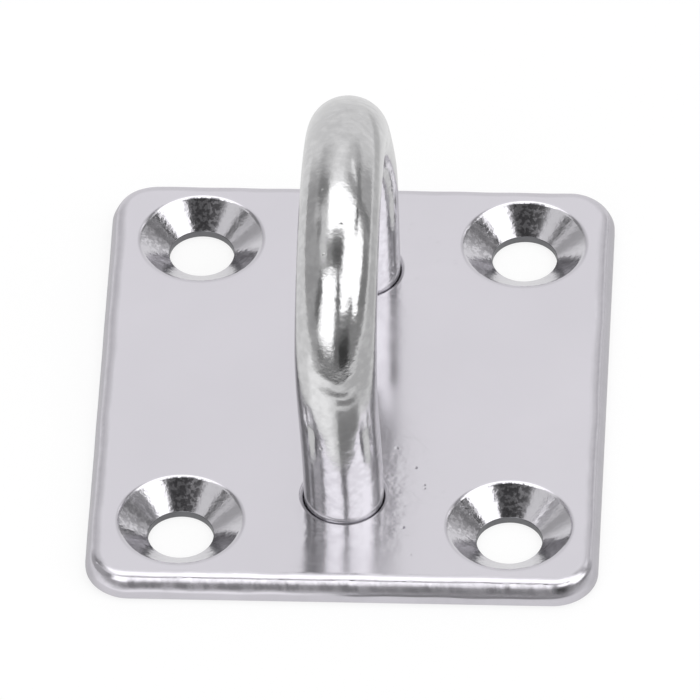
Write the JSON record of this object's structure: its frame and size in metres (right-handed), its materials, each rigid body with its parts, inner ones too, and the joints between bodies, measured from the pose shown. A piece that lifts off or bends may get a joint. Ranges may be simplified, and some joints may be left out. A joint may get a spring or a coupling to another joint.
{
  "type": "hammock hook",
  "caption": "Screw-on hammock hook: a rectangular steel plate with rounded corners and countersunk screw holes, carrying a fixed loop of round rod.",
  "frame": {"origin": "centre of the plate's back face, which lies on the wall, beam or ceiling", "axes": "+Z out of the plate towards the loop, +Y along the plate's long side and the loop, +X across the plate"},
  "size_m": [0.0406, 0.0464, 0.0274],
  "materials": {
    "plate_steel": "satin polished stainless steel, nearly a mirror on the rolled edges and in the countersinks",
    "rod_steel": "mirror polished stainless steel rod with fine pits",
    "weld_steel": "ground weld metal, faint straw heat tint"
  },
  "bodies": {
    "root": {"base_plate": "plate_steel", "eye_rod": "rod_steel", "root_weld_front": "weld_steel", "root_weld_rear": "weld_steel"}
  },
  "joints": []
}
